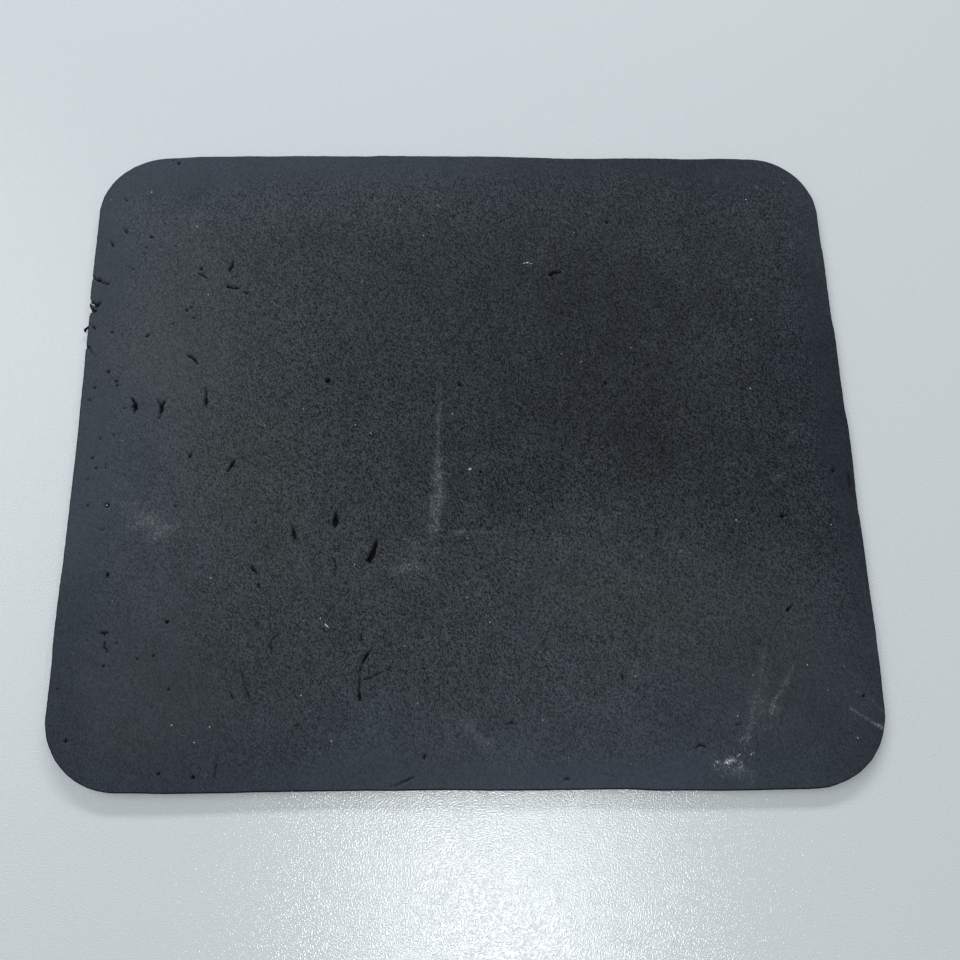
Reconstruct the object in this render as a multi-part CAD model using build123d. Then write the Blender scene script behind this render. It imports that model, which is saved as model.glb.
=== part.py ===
from build123d import *
import os

# A small desk mat: a sheet of foam rubber with a knitted cloth laminated to one side.
# It lies with the cloth face down and the bare foam face up. Millimetres, +Z up.
# The origin is the middle of the face that lies on the desk.
# +X runs along the longer side, and +Y along the shorter side, away from the user.

# Driving dimensions
mat_length = 210.0       # along X
mat_width = 180.0        # along Y
corner_radius = 19.0     # the cutting die's corner
mat_thickness = 2.0      # all three layers together
cloth_thickness = 0.35   # fine knitted polyester
film_thickness = 0.10    # hot-melt adhesive between the cloth and the foam
film_setback = 0.25      # the squeezed film stops short of the cut edge by this much
rim_radius = 0.30        # the foam's upper rim, rubbed round

# Levels that follow from them
film_bottom = cloth_thickness
foam_bottom = cloth_thickness + film_thickness
foam_thickness = mat_thickness - foam_bottom


def mat_slab(bottom, thickness, setback=0.0):
    """A flat rounded rectangle of the mat's outline, taken in by setback, standing on the level bottom."""
    outline = RectangleRounded(
        mat_length - 2 * setback,
        mat_width - 2 * setback,
        corner_radius - setback,
    )
    return Pos(0, 0, bottom) * extrude(outline, thickness)


def cloth_face():
    """The knitted cover that the mouse runs on in use, face down here."""
    return mat_slab(0, cloth_thickness)


def adhesive_film():
    """The thin melted layer that holds the cloth to the foam, sealed between them."""
    return mat_slab(film_bottom, film_thickness, film_setback)


def foam_base():
    """The foam rubber body, whose bare face grips the desk in use and faces up here."""
    slab = mat_slab(foam_bottom, foam_thickness)
    upper_rim = slab.faces().sort_by(Axis.Z)[-1].edges()
    return fillet(upper_rim, rim_radius)


def write_parts():
    """Each layer goes to its own file, named after its node."""
    layers = {
        "cloth_face": cloth_face(),
        "adhesive_film": adhesive_film(),
        "foam_base": foam_base(),
    }
    os.makedirs("parts", exist_ok=True)
    for node, shape in layers.items():
        export_step(shape, f"parts/{node}.step")


write_parts()
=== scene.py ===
"""A small desk mat: a sheet of sponge rubber laminated to a knitted cloth, lying cloth side down.

Run as a script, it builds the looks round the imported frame: the worn rubber face with its tears, scuffs
and dust, the laminating film, the cloth below, and a pale table with soft light.
"""

import math

import bpy
import numpy as np
from bpy.props import FloatProperty, FloatVectorProperty, IntProperty, PointerProperty
from mathutils import Matrix, Vector


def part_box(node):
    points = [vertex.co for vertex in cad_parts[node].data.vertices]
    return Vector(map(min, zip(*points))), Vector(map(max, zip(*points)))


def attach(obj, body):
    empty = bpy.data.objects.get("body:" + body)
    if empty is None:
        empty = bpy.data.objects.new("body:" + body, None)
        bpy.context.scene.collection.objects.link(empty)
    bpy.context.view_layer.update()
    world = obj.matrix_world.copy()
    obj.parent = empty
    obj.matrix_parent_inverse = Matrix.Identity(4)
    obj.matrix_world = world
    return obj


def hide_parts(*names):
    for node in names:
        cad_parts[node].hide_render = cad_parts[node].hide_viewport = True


bl_info = {
    "name": "Worn desk mat",
    "version": (1, 0, 0),
    "blender": (4, 5, 0),
    "location": "3D View > Sidebar > Desk mat",
    "description": "Builds a worn sponge-rubber desk mat, its cloth and film, and a pale table to show it on",
    "category": "Add Mesh",
}

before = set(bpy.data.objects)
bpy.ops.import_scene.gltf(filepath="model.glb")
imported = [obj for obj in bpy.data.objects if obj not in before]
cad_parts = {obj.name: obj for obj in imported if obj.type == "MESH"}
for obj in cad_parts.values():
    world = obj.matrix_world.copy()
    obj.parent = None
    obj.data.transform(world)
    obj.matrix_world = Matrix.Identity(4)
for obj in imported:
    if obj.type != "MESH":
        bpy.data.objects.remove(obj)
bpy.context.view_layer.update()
FOAM_LOW, FOAM_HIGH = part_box("foam_base")
FILM_LOW, FILM_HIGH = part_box("adhesive_film")
CLOTH_LOW, CLOTH_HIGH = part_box("cloth_face")

MM = 0.001
SEED = 2203
HALF_LENGTH = FOAM_HIGH.x / MM
HALF_WIDTH = FOAM_HIGH.y / MM
FOAM_TOP = FOAM_HIGH.z / MM
FOAM_BOTTOM = FOAM_LOW.z / MM


# ---------------------------------------------------------------------------------------------------
# What time has done to the mat. Every place is x, y in millimetres from its middle, +y away from the user.

# How far each side has crept from straight: place along the side, then the offset outwards.
SIDE_CREEP = {
    "right": (
        (70, -1.0), (50, -0.7), (20, -0.3), (-5, 0.15), (-15, -0.2), (-30, 0.1), (-60, 0.2), (-70, -0.1)
    ),
    "left": ((60, 0.6), (48, 0.6), (30, 0.2), (15, 0.0), (0, -0.2), (-25, -0.2), (-45, 0.0), (-66, -0.3)),
    "back": (
        (-88, -1.3), (-75, -0.5), (-60, -0.2), (-45, 0.0), (-10, 0.2), (8, 0.3), (18, 0.0), (32, -0.3),
        (50, -0.1), (58, 0.0), (68, -0.3), (78, 0.1), (86, -0.3),
    ),
    "front": (
        (-86, -0.7), (-72, -0.4), (-40, -0.5), (-5, -0.4), (5, -0.1), (12, 0.0), (35, 0.0), (50, 0.5),
        (65, 0.7), (82, 0.6), (95, 0.1),
    ),
}

# Bites out of the left edge: place along it, half height, depth.
EDGE_BITES = ((42.1, 0.7, 0.25), (39.2, 1.0, 0.55))

# Tears and deep nicks: depth, then x, y, half width of each point along it.
TEARS = (
    (1.0, ((-66.4, 54.8, 0.12), (-66.8, 53.0, 0.36), (-67.4, 51.6, 0.10))),
    (0.8, ((-66.8, 52.9, 0.28), (-65.8, 53.5, 0.08))),
    (0.6, ((-67.0, 52.2, 0.18), (-66.7, 50.8, 0.10))),
    (0.9, ((-67.6, 46.8, 0.34), (-66.0, 46.5, 0.26), (-64.0, 46.3, 0.06))),
    (0.7, ((-75.8, 50.8, 0.30), (-74.2, 49.9, 0.20), (-72.3, 49.0, 0.05))),
    (0.7, ((-62.7, 45.0, 0.18), (-61.5, 44.8, 0.10))),
    (0.7, ((-98.2, 65.0, 0.12), (-97.6, 64.2, 0.26), (-97.2, 63.6, 0.10))),
    (0.7, ((-101.5, 60.9, 0.12), (-101.0, 60.1, 0.26), (-100.7, 59.3, 0.10))),
    (0.5, ((-98.9, 75.0, 0.12), (-98.3, 74.2, 0.18))),
    (0.6, ((-88.9, 31.2, 0.18), (-88.0, 32.2, 0.10))),
    (0.9, ((-76.9, 25.5, 0.34), (-75.5, 24.7, 0.26), (-74.0, 22.7, 0.06))),
    (
        1.2,
        (
            (-91.2, 13.0, 0.12), (-90.7, 12.0, 0.28), (-90.3, 11.1, 0.46), (-90.2, 10.0, 0.42),
            (-90.3, 8.3, 0.08)
        )
    ),
    (1.0, ((-90.4, 10.9, 0.45), (-91.1, 10.5, 0.10))),
    (1.0, ((-90.1, 10.3, 0.42), (-89.4, 9.7, 0.10))),
    (
        1.3,
        (
            (-84.4, 12.7, 0.16), (-83.9, 11.6, 0.24), (-83.2, 10.6, 0.38), (-83.1, 9.2, 0.40),
            (-83.6, 7.0, 0.08)
        )
    ),
    (1.0, ((-83.1, 10.6, 0.28), (-82.3, 12.2, 0.14))),
    (1.0, ((-71.5, 15.7, 0.06), (-71.4, 14.0, 0.26), (-71.3, 12.4, 0.44), (-71.0, 9.7, 0.08))),
    (0.8, ((-74.1, -2.5, 0.10), (-74.4, -3.6, 0.28), (-74.7, -4.7, 0.08))),
    (0.9, ((-62.6, -5.0, 0.28), (-63.1, -6.0, 0.38), (-64.1, -7.9, 0.06))),
    (1.0, ((-46.2, -22.9, 0.10), (-46.0, -24.5, 0.34), (-45.7, -25.8, 0.40), (-45.5, -27.2, 0.16))),
    (1.3, ((-35.0, -18.7, 0.10), (-35.1, -20.5, 0.40), (-35.1, -22.1, 0.68), (-35.2, -23.9, 0.12))),
    (1.4, ((-23.8, -26.2, 0.12), (-24.3, -27.9, 0.34), (-24.9, -29.7, 0.50), (-25.4, -31.3, 0.64),
           (-25.9, -32.4, 0.45), (-26.0, -33.4, 0.12))),
    (1.2, ((-25.6, -31.7, 0.40), (-26.7, -32.3, 0.10))),
    (0.3, ((-35.1, -27.0, 0.12), (-35.1, -30.0, 0.16))),
    (0.4, ((-34.9, -32.0, 0.16), (-34.7, -35.0, 0.28), (-34.7, -36.9, 0.14))),
    (0.9, ((-56.4, -33.8, 0.28), (-55.7, -34.9, 0.34), (-55.1, -35.8, 0.10))),
    (0.7, ((-54.4, -38.4, 0.22), (-54.1, -39.6, 0.12))),
    (0.8, ((-93.1, -35.4, 0.28), (-93.3, -36.6, 0.18))),
    (0.8, ((-93.3, -50.6, 0.24), (-91.6, -50.6, 0.24))),
    (0.7, ((-92.4, -50.7, 0.22), (-92.3, -51.9, 0.12))),
    (0.6, ((-92.1, -53.0, 0.16), (-92.1, -54.2, 0.20), (-91.1, -55.5, 0.12))),
    (0.35, ((-50.2, -55.6, 0.12), (-50.4, -53.8, 0.22), (-50.1, -52.6, 0.20), (-48.7, -51.2, 0.12))),
    (0.30, ((-50.3, -53.2, 0.18), (-51.2, -53.0, 0.08))),
    (0.8, ((-27.6, -52.0, 0.24), (-27.6, -53.1, 0.20))),
    (0.9, ((-24.3, -54.5, 0.06), (-25.6, -56.3, 0.20), (-26.5, -57.4, 0.32), (-27.1, -58.8, 0.18))),
    (0.9, ((-27.1, -58.8, 0.18), (-27.6, -60.0, 0.16), (-27.8, -62.0, 0.16), (-27.9, -65.0, 0.18))),
    (0.9, ((-27.9, -65.0, 0.14), (-27.7, -67.2, 0.30), (-27.7, -68.2, 0.10))),
    (0.4, ((-26.9, -63.0, 0.12), (-24.0, -62.0, 0.17), (-22.6, -61.3, 0.15), (-20.2, -60.3, 0.10))),
    (0.5, ((-57.6, -60.2, 0.10), (-56.4, -64.3, 0.17), (-55.3, -66.7, 0.26), (-54.9, -67.8, 0.12))),
    (0.5, ((-59.6, -66.4, 0.20), (-59.2, -67.2, 0.24), (-58.5, -67.0, 0.10))),
    (0.3, ((-61.8, -80.5, 0.08), (-62.4, -84.2, 0.26), (-62.7, -87.8, 0.10))),
    (0.7, ((-11.4, -81.5, 0.26), (-11.6, -82.6, 0.16))),
    (0.4, ((-14.0, -86.5, 0.08), (-17.3, -88.0, 0.24), (-20.8, -89.0, 0.10))),
    (
        0.4,
        (
            (6.5, -74.1, 0.10), (9.4, -74.2, 0.18), (10.3, -73.8, 0.26), (11.2, -74.3, 0.18),
            (12.5, -74.5, 0.08)
        )
    ),
    (0.6, ((22.8, -87.8, 0.20), (23.5, -87.3, 0.26), (24.2, -87.7, 0.15))),
    (0.3, ((32.0, -86.2, 0.10), (36.3, -87.3, 0.12))),
    (1.0, ((24.0, 50.8, 0.26), (25.6, 51.7, 0.44), (26.5, 51.7, 0.30), (27.3, 51.3, 0.12))),
    (0.3, ((-20.0, 47.5, 0.10), (-18.0, 48.1, 0.15), (-16.0, 48.0, 0.08))),
    (0.9, ((-2.4, 17.1, 0.36), (-1.8, 16.5, 0.16))),
    (0.9, ((82.9, -46.3, 0.38), (83.5, -45.7, 0.22), (84.3, -45.0, 0.08))),
    (0.7, ((38.6, -62.4, 0.18), (38.7, -63.0, 0.28), (38.6, -63.8, 0.15))),
    (0.6, ((56.3, -80.4, 0.15), (57.2, -79.8, 0.28), (58.2, -80.1, 0.20), (58.5, -80.8, 0.10))),
    (0.3, ((103.4, -9.0, 0.20), (103.7, -11.0, 0.45), (103.4, -13.2, 0.20))),
    (0.4, ((66.8, -75.0, 0.15), (68.0, -74.9, 0.10))),
    (0.4, ((-43.3, -73.9, 0.18), (-42.1, -73.8, 0.10))),
    (0.3, ((-79.0, -65.5, 0.06), (-78.9, -69.8, 0.10))),
    (0.25, ((-99.0, -22.5, 0.08), (-95.0, -24.0, 0.08))),
    (0.5, ((-96.3, -6.0, 0.20), (-96.4, -7.0, 0.16))),
    (0.5, ((-100.7, -9.8, 0.18), (-101.1, -10.6, 0.15))),
    # the torn stretch of the left edge: an upper crack with its arm, the hollow behind the flap, and two
    # slits
    (0.9, ((-105.2, 49.4, 0.14), (-104.1, 48.7, 0.16), (-103.3, 48.6, 0.28))),
    (0.8, ((-103.4, 48.8, 0.22), (-103.6, 49.4, 0.06))),
    (0.9, ((-103.9, 48.3, 0.14), (-102.4, 47.8, 0.16), (-101.5, 47.7, 0.22), (-100.7, 47.5, 0.10))),
    (0.7, ((-101.4, 47.5, 0.16), (-101.4, 47.0, 0.10))),
    (1.2, ((-104.0, 40.9, 0.20), (-103.5, 40.6, 0.36), (-103.1, 41.1, 0.30), (-102.6, 41.8, 0.10))),
    (1.2, ((-105.5, 40.4, 0.20), (-104.5, 39.4, 0.34), (-103.5, 39.1, 0.14))),
    (0.9, ((-105.0, 42.0, 0.14), (-104.4, 41.5, 0.24), (-103.8, 41.2, 0.14))),
    (0.6, ((-104.7, 35.0, 0.18), (-103.3, 33.7, 0.18))),
    (0.6, ((-105.2, 28.2, 0.26), (-104.4, 28.1, 0.34), (-104.0, 27.4, 0.12))),
    (0.3, ((-104.2, 27.6, 0.20), (-103.4, 26.6, 0.16), (-102.2, 25.2, 0.10))),
)

# Round pits: x, y, radius, depth.
PITS = (
    (-84.2, 86.9, 0.39, 0.7), (-86.0, 88.0, 0.31, 0.5), (-90.1, 62.5, 0.41, 0.9), (-75.3, 52.4, 0.43, 0.9),
    (-78.4, 39.4, 0.37, 0.8), (-77.2, 40.3, 0.31, 0.7), (-76.4, 37.0, 0.29, 0.6), (-82.0, 35.2, 0.29, 0.6),
    (-98.5, 32.6, 0.35, 0.7), (-98.4, 20.8, 0.41, 0.8), (-95.9, 18.0, 0.35, 0.7), (-95.6, 16.7, 0.31, 0.7),
    (-101.6, 16.1, 0.33, 0.7), (-102.6, 12.5, 0.31, 0.6), (-92.9, 10.1, 0.27, 0.5),
    (-38.4, 18.2, 0.62, 1.3), (-66.6, 4.5, 0.29, 0.5), (-66.1, 1.5, 0.29, 0.5), (-98.6, 1.4, 0.29, 0.5),
    (-95.1, 2.3, 0.27, 0.4), (-100.2, -4.1, 0.33, 0.6), (-99.0, -7.0, 0.31, 0.6), (-95.0, -17.2, 0.55, 0.9),
    (-100.1, -17.2, 0.31, 0.6), (-77.2, -17.5, 0.31, 0.6), (-56.0, -22.0, 0.30, 0.6),
    (-27.0, -45.9, 0.30, 0.6), (-76.9, -48.0, 0.43, 0.8), (-83.6, -57.2, 0.29, 0.6),
    (-79.7, -56.5, 0.29, 0.6), (-91.8, -59.0, 0.29, 0.6), (-12.3, -52.5, 0.30, 0.6),
    (-75.2, -64.9, 0.31, 0.6), (-102.5, -64.5, 0.27, 0.5), (-99.1, -77.0, 0.39, 0.8),
    (-76.0, -85.0, 0.35, 0.7), (-67.6, -85.9, 0.43, 0.8), (-43.6, -42.7, 0.26, 0.4),
    (41.4, 68.1, 0.42, 0.8), (-27.5, 75.7, 0.34, 0.5), (-1.8, 74.8, 0.22, 0.4), (-3.1, 74.2, 0.22, 0.4),
    (24.9, 88.2, 0.22, 0.4), (35.9, 53.1, 0.22, 0.4), (3.4, -8.3, 0.36, 0.9), (38.4, 17.2, 0.38, 0.8),
    (99.3, -8.4, 0.42, 0.9), (97.4, -7.4, 0.24, 0.5), (84.1, -21.0, 0.50, 1.1), (85.4, -20.8, 0.30, 0.5),
    (70.3, -25.1, 0.36, 0.6), (72.9, -14.9, 0.22, 0.5), (72.9, -47.7, 0.22, 0.4), (40.3, -51.5, 0.30, 0.4),
    (44.5, -65.0, 0.24, 0.5), (99.9, -68.3, 0.38, 0.7), (-91.3, 59.0, 0.27, 0.5), (-91.8, 57.0, 0.27, 0.5),
    (-83.0, 59.6, 0.27, 0.5), (-94.4, 52.1, 0.27, 0.5), (-89.2, -53.3, 0.27, 0.5),
    (-105.3, 49.5, 0.33, 0.7),
)

# Rubbed, greyed places: strength, softness of the edge, then x, y, half width.
SCUFFS = (
    (0.20, 1.0, ((-7.5, 26.0, 0.1), (-7.6, 10.0, 0.3))),
    (0.38, 1.0, ((-7.6, 12.0, 0.2), (-8.2, 0.0, 0.6), (-8.1, -8.0, 1.2))),
    (0.40, 1.2, ((-8.1, -8.0, 1.1), (-8.3, -16.0, 1.9), (-8.8, -24.0, 1.5))),
    (0.18, 3.0, ((-8.6, -24.0, 1.0), (-9.0, -36.0, 0.6))),
    (0.70, 0.5, ((-4.5, -24.9, 0.15), (-1.2, -24.8, 0.35))),
    (0.32, 0.6, ((-1.2, -24.8, 0.20), (4.0, -24.9, 0.20), (12.0, -25.1, 0.15))),
    (0.46, 0.7, ((-16.4, -26.6, 0.3), (-14.9, -27.6, 0.3))),
    (0.40, 0.6, ((-3.9, -25.7, 0.3), (-3.1, -25.9, 0.3))),
    (0.35, 0.5, ((9.3, -17.0, 0.15), (10.0, -17.5, 0.15))),
    (0.30, 0.6, ((8.8, 7.4, 0.3),)),
    (0.30, 0.6, ((-10.8, -52.8, 0.4),)),
    (0.28, 0.8, ((-73.3, 74.8, 0.5),)),
    (0.46, 4.0, ((-89.5, -18.5, 1.0), (-85.0, -21.0, 2.0), (-80.5, -23.5, 1.8))),
    (0.24, 2.0, ((-82.5, -22.5, 0.8), (-79.5, -24.0, 0.8))),
    (0.16, 3.4, ((-92.5, -11.0, 0.8), (-90.0, -13.0, 0.8))),
    (0.42, 3.4, ((-18.5, -33.8, 0.8), (-13.5, -34.6, 0.8))),
    (0.20, 4.5, ((-14.0, -29.0, 0.8), (-20.0, -35.0, 0.8))),
    (0.34, 2.8, ((-0.5, -75.0, 0.6), (2.0, -77.0, 0.7), (4.5, -79.0, 0.4))),
    (0.14, 2.0, ((-5.5, -72.0, 0.8),)),
    (0.24, 4.5, ((49.0, -50.5, 1.2), (54.0, -51.5, 1.2))),
    (0.30, 1.4, ((86.2, 80.3, 0.5), (87.4, 79.7, 0.4))),
    (0.26, 1.0, ((75.3, 83.3, 0.3), (75.5, 81.5, 0.3))),
    (0.28, 0.9, ((89.3, 2.5, 0.4),)),
    (0.40, 1.6, ((83.4, -9.8, 0.6), (86.5, -10.2, 0.5))),
    (0.30, 0.7, ((84.8, -4.4, 0.15), (86.2, -5.6, 0.15))),
    (0.30, 0.7, ((85.6, -13.8, 0.15), (87.4, -14.6, 0.15))),
    (0.26, 0.6, ((70.0, -5.2, 0.15), (73.0, -6.5, 0.15))),
    (0.60, 0.4, ((96.1, -71.3, 0.10), (99.6, -73.8, 0.20), (103.5, -76.2, 0.30))),
    (0.85, 0.4, ((101.0, -74.7, 0.12), (103.5, -76.2, 0.28))),
    (0.30, 0.6, ((98.2, -67.1, 0.10), (101.2, -68.7, 0.20))),
    (0.55, 0.5, ((101.2, -68.7, 0.15), (104.3, -72.2, 0.30))),
    (0.26, 1.0, ((82.5, -60.5, 0.1), (80.8, -63.7, 0.3), (74.9, -76.7, 0.1))),
    (0.44, 1.0, ((81.0, -63.4, 0.2), (79.6, -65.9, 0.4), (76.9, -69.3, 0.4))),
    (0.50, 0.9, ((77.2, -69.0, 0.4), (76.2, -71.3, 0.5), (75.6, -73.3, 0.4))),
    (0.36, 1.0, ((75.6, -56.6, 0.1), (74.8, -60.6, 0.4))),
    (0.30, 1.6, ((74.8, -60.6, 0.3), (73.7, -65.2, 0.6), (71.4, -70.4, 0.8))),
    (0.40, 1.1, ((71.4, -70.4, 0.3), (70.5, -74.4, 0.5), (68.9, -78.3, 0.4), (67.3, -79.4, 0.1))),
    (0.20, 3.0, ((75.0, -64.0, 1.0), (72.0, -74.0, 1.5))),
    (0.30, 2.4, ((62.0, -84.5, 0.8), (69.5, -86.5, 0.9))),
    (0.26, 0.7, ((67.0, -79.2, 0.2), (69.0, -80.0, 0.2))),
)

# Chalky dust ground into the surface, never solid: strength, softness of the edge, then x, y, half width.
CHALK = (
    (0.78, 1.1, ((61.1, -84.0, 0.2), (63.1, -84.1, 0.5), (65.2, -83.5, 0.4), (66.8, -82.3, 0.2))),
    (0.66, 0.8, ((68.3, -82.6, 0.1), (70.2, -82.0, 0.2))),
    (0.34, 2.4, ((61.0, -85.0, 0.8), (67.0, -83.5, 1.0))),
    (0.22, 2.4, ((68.0, -81.5, 0.8), (67.0, -77.5, 0.5))),
    (0.40, 0.6, ((68.2, -79.6, 0.2), (70.6, -77.6, 0.2))),
    (0.22, 1.0, ((75.8, -72.0, 0.4), (77.0, -69.0, 0.4), (79.6, -65.9, 0.2))),
)

# Grey bloom and painted sheen on the rubber: the blots lighten the colour where a lamp's broad sheen is
# painted in, most of all at the left, and the negative ones darken the middle, where less sheen is painted;
# under that lies grey bloom, thick where nothing rubs it off. x, y, reach along x, reach along y, strength.
BLOOM_AND_SHEEN = (
    (-112.0, 15.0, 60.0, 75.0, 0.78), (-95.0, 85.0, 40.0, 35.0, 0.25), (-30.0, 98.0, 60.0, 24.0, 0.50),
    (30.0, -70.0, 80.0, 35.0, 0.34), (20.0, -92.0, 70.0, 14.0, 0.45), (40.0, -38.0, 34.0, 13.0, 0.22),
    (-30.0, -28.0, 40.0, 20.0, 0.12), (100.0, 80.0, 25.0, 25.0, 0.20), (-102.0, -15.0, 14.0, 22.0, 0.20),
    (-90.0, -75.0, 35.0, 30.0, 0.06), (35.0, 18.0, 35.0, 35.0, -0.12), (96.0, 0.0, 20.0, 30.0, -0.05),
    (34.0, 48.0, 16.0, 12.0, -0.10), (14.0, -18.0, 10.0, 8.0, -0.10), (48.0, 0.0, 10.0, 8.0, -0.08),
    (-32.0, 20.0, 9.0, 8.0, -0.08), (-48.0, 0.0, 10.0, 9.0, 0.10), (48.0, -20.0, 11.0, 8.0, 0.09),
    (-16.0, -78.0, 15.0, 9.0, 0.10), (80.0, -42.0, 16.0, 14.0, 0.10), (0.0, 20.0, 9.0, 9.0, 0.05),
    (72.0, 20.0, 12.0, 10.0, 0.06), (-45.0, -40.0, 12.0, 10.0, 0.07), (95.0, -60.0, 12.0, 14.0, 0.12),
)

# Grime that has browned the rubber where hands and things rest: x, y, reach along x, reach along y, strength.
GRIME = (
    (-52.0, -2.0, 16.0, 13.0, 0.9), (-62.0, -14.0, 9.0, 12.0, 0.6), (-50.0, -30.0, 9.0, 16.0, 0.8),
    (-48.0, 24.0, 10.0, 14.0, 0.45), (-24.0, -30.0, 14.0, 9.0, 0.7), (12.0, -34.0, 18.0, 7.0, 0.65),
    (50.0, -46.0, 20.0, 8.0, 0.9), (36.0, -39.0, 16.0, 6.0, 0.6), (54.0, 10.0, 26.0, 16.0, 0.55),
    (46.0, -8.0, 22.0, 12.0, 0.5), (-78.0, 40.0, 22.0, 34.0, 0.35), (-30.0, 66.0, 30.0, 14.0, 0.25),
    (-12.0, -84.0, 14.0, 5.0, 0.3), (-104.0, 5.0, 12.0, 60.0, 0.5),
)

# Places where the skin of the rubber is whole, so that its grain is calm: x, y, reach x, reach y, strength.
CALM_PLACES = (
    (-85.0, -72.0, 38.0, 26.0, 1.0), (88.0, -70.0, 34.0, 28.0, 1.0), (-95.0, -10.0, 22.0, 60.0, 0.6),
    (0.0, -80.0, 60.0, 14.0, 0.4),
)

# Lint and chalk flecks lying on the rubber: x, y, length, width, turn in degrees.
FLECKS = (
    (-36.5, -49.3, 1.3, 0.45, -42.0), (-38.1, -47.4, 0.5, 0.3, 20.0), (0.5, -7.6, 0.95, 0.6, 35.0),
    (17.6, 54.6, 1.0, 0.4, 10.0), (16.7, 54.4, 0.6, 0.35, -20.0), (18.7, 54.3, 0.7, 0.3, -15.0),
    (-91.3, 77.1, 0.55, 0.4, 0.0), (-77.4, 65.9, 0.9, 0.25, 84.0), (-12.2, 63.4, 0.4, 0.3, 0.0),
    (-19.2, 72.0, 0.35, 0.25, 30.0), (31.6, 64.6, 0.35, 0.3, 0.0), (83.2, 75.8, 0.5, 0.35, 40.0),
    (78.8, 15.6, 0.5, 0.35, -30.0), (71.4, -22.1, 0.5, 0.35, 10.0), (96.9, -23.5, 0.35, 0.3, 0.0),
    (-30.5, 5.1, 0.4, 0.3, 0.0), (-4.1, 8.2, 0.4, 0.3, 60.0), (31.9, 23.7, 0.4, 0.25, 25.0),
    (-66.6, -36.8, 0.45, 0.35, 0.0), (-29.8, -33.4, 0.4, 0.3, 15.0), (-0.5, -42.3, 0.4, 0.3, 0.0),
    (5.2, -48.8, 0.4, 0.3, 0.0), (-16.6, -54.6, 0.4, 0.3, 50.0), (-73.7, -73.5, 0.5, 0.35, 0.0),
    (-64.4, -74.0, 0.4, 0.3, 0.0), (-67.9, -77.7, 0.4, 0.3, 20.0), (-42.3, -66.7, 0.4, 0.3, 0.0),
    (-34.4, -77.8, 0.4, 0.35, 0.0), (18.0, -73.3, 0.4, 0.3, 0.0), (67.2, -72.9, 0.4, 0.3, 0.0),
    (86.3, -60.4, 0.4, 0.3, 0.0), (42.0, -62.8, 0.4, 0.3, 0.0), (-95.0, -17.2, 0.5, 0.4, 0.0),
    (61.1, -83.8, 0.5, 0.3, 20.0), (63.1, -84.1, 0.6, 0.3, 10.0), (65.2, -83.6, 0.5, 0.3, 30.0),
    (66.8, -82.2, 0.5, 0.25, 40.0), (69.7, -82.3, 0.5, 0.25, 20.0),
)

# Shreds of rubber that hang from the torn left edge: x, y, height, radius of each point.
SHREDS = (
    (
        (-104.8, 34.8, 1.5, 0.28), (-105.3, 34.5, 1.3, 0.32), (-106.4, 33.7, 1.1, 0.32),
        (-106.0, 33.0, 1.0, 0.22)
    ),
    ((-104.9, 49.3, 1.5, 0.14), (-105.4, 49.6, 1.4, 0.16), (-105.7, 49.9, 1.2, 0.08)),
)

# The frayed lip of the flap between the two bites; the light it catches is painted into its pale colour as a
# highlight.
LIPS = (((-105.1, 41.3, 1.95, 0.10), (-104.5, 41.0, 2.0, 0.16), (-103.9, 40.7, 1.95, 0.12)),)


# ---------------------------------------------------------------------------------------------------
# Shapes as whole arrays. Lengths in these functions are millimetres; a mesh is scaled once, when it is made.


def smooth_step(t):
    """0 below 0, 1 above 1, and the curve 3t^2 - 2t^3 between."""
    t = np.clip(t, 0.0, 1.0)
    return t * t * (3.0 - 2.0 * t)


def value_noise(x, y, period, seed):
    """Noise from -1 to 1: random values at the corners of squares of side period, blended by smooth_step."""
    side = 256
    corners = np.random.default_rng(SEED + seed).uniform(-1.0, 1.0, (side, side))
    column, row = x / period, y / period
    left, low = np.floor(column).astype(int), np.floor(row).astype(int)
    across, up = smooth_step(column - left), smooth_step(row - low)
    left, low = left % side, low % side
    right, high = (left + 1) % side, (low + 1) % side
    lower = corners[low, left] * (1 - across) + corners[low, right] * across
    upper = corners[high, left] * (1 - across) + corners[high, right] * across
    return lower * (1 - up) + upper * up


def mat_plan(columns, rows, inset, radius):
    """The mat's outline filled by a grid: u and v run from -1 to 1 across the length and the width.
    The square at each corner is squeezed into a quarter disc:
    p, q in it go to p*sqrt(1 - q^2/2), q*sqrt(1 - p^2/2)."""
    radius = radius - inset
    across, up = HALF_LENGTH - inset, HALF_WIDTH - inset
    x, y = np.meshgrid(np.linspace(-across, across, columns + 1), np.linspace(-up, up, rows + 1))
    p = np.clip((np.abs(x) - across + radius) / radius, 0.0, 1.0)
    q = np.clip((np.abs(y) - up + radius) / radius, 0.0, 1.0)
    x = x + np.sign(x) * radius * p * (np.sqrt(1.0 - q * q / 2.0) - 1.0)
    y = y + np.sign(y) * radius * q * (np.sqrt(1.0 - p * p / 2.0) - 1.0)
    return x, y


def to_edge(x, y, radius):
    """Distance of a point in from the outline, and the unit direction straight out.
    Beside a corner both come from the circle's centre, elsewhere from the nearer side."""
    over_x, over_y = np.abs(x) - HALF_LENGTH + radius, np.abs(y) - HALF_WIDTH + radius
    corner = (over_x > 0) & (over_y > 0)
    reach = np.hypot(np.maximum(over_x, 0.0), np.maximum(over_y, 0.0))
    depth = radius - reach - np.minimum(np.maximum(over_x, over_y), 0.0)
    safe = np.maximum(reach, 1e-9)
    out_x = np.sign(x) * np.where(corner, over_x / safe, over_x >= over_y)
    out_y = np.sign(y) * np.where(corner, over_y / safe, over_x < over_y)
    return depth, out_x, out_y


def side_creep(along, knots):
    """Mean of the listed offsets, each weighted by a bell curve of its distance along the side."""
    places = np.array([k[0] for k in knots])
    offsets = np.array([k[1] for k in knots])
    reach = 7.0
    weights = np.exp(-(((along[..., None] - places) / reach) ** 2)) + 1e-9
    return (weights * offsets).sum(-1) / weights.sum(-1)


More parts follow.
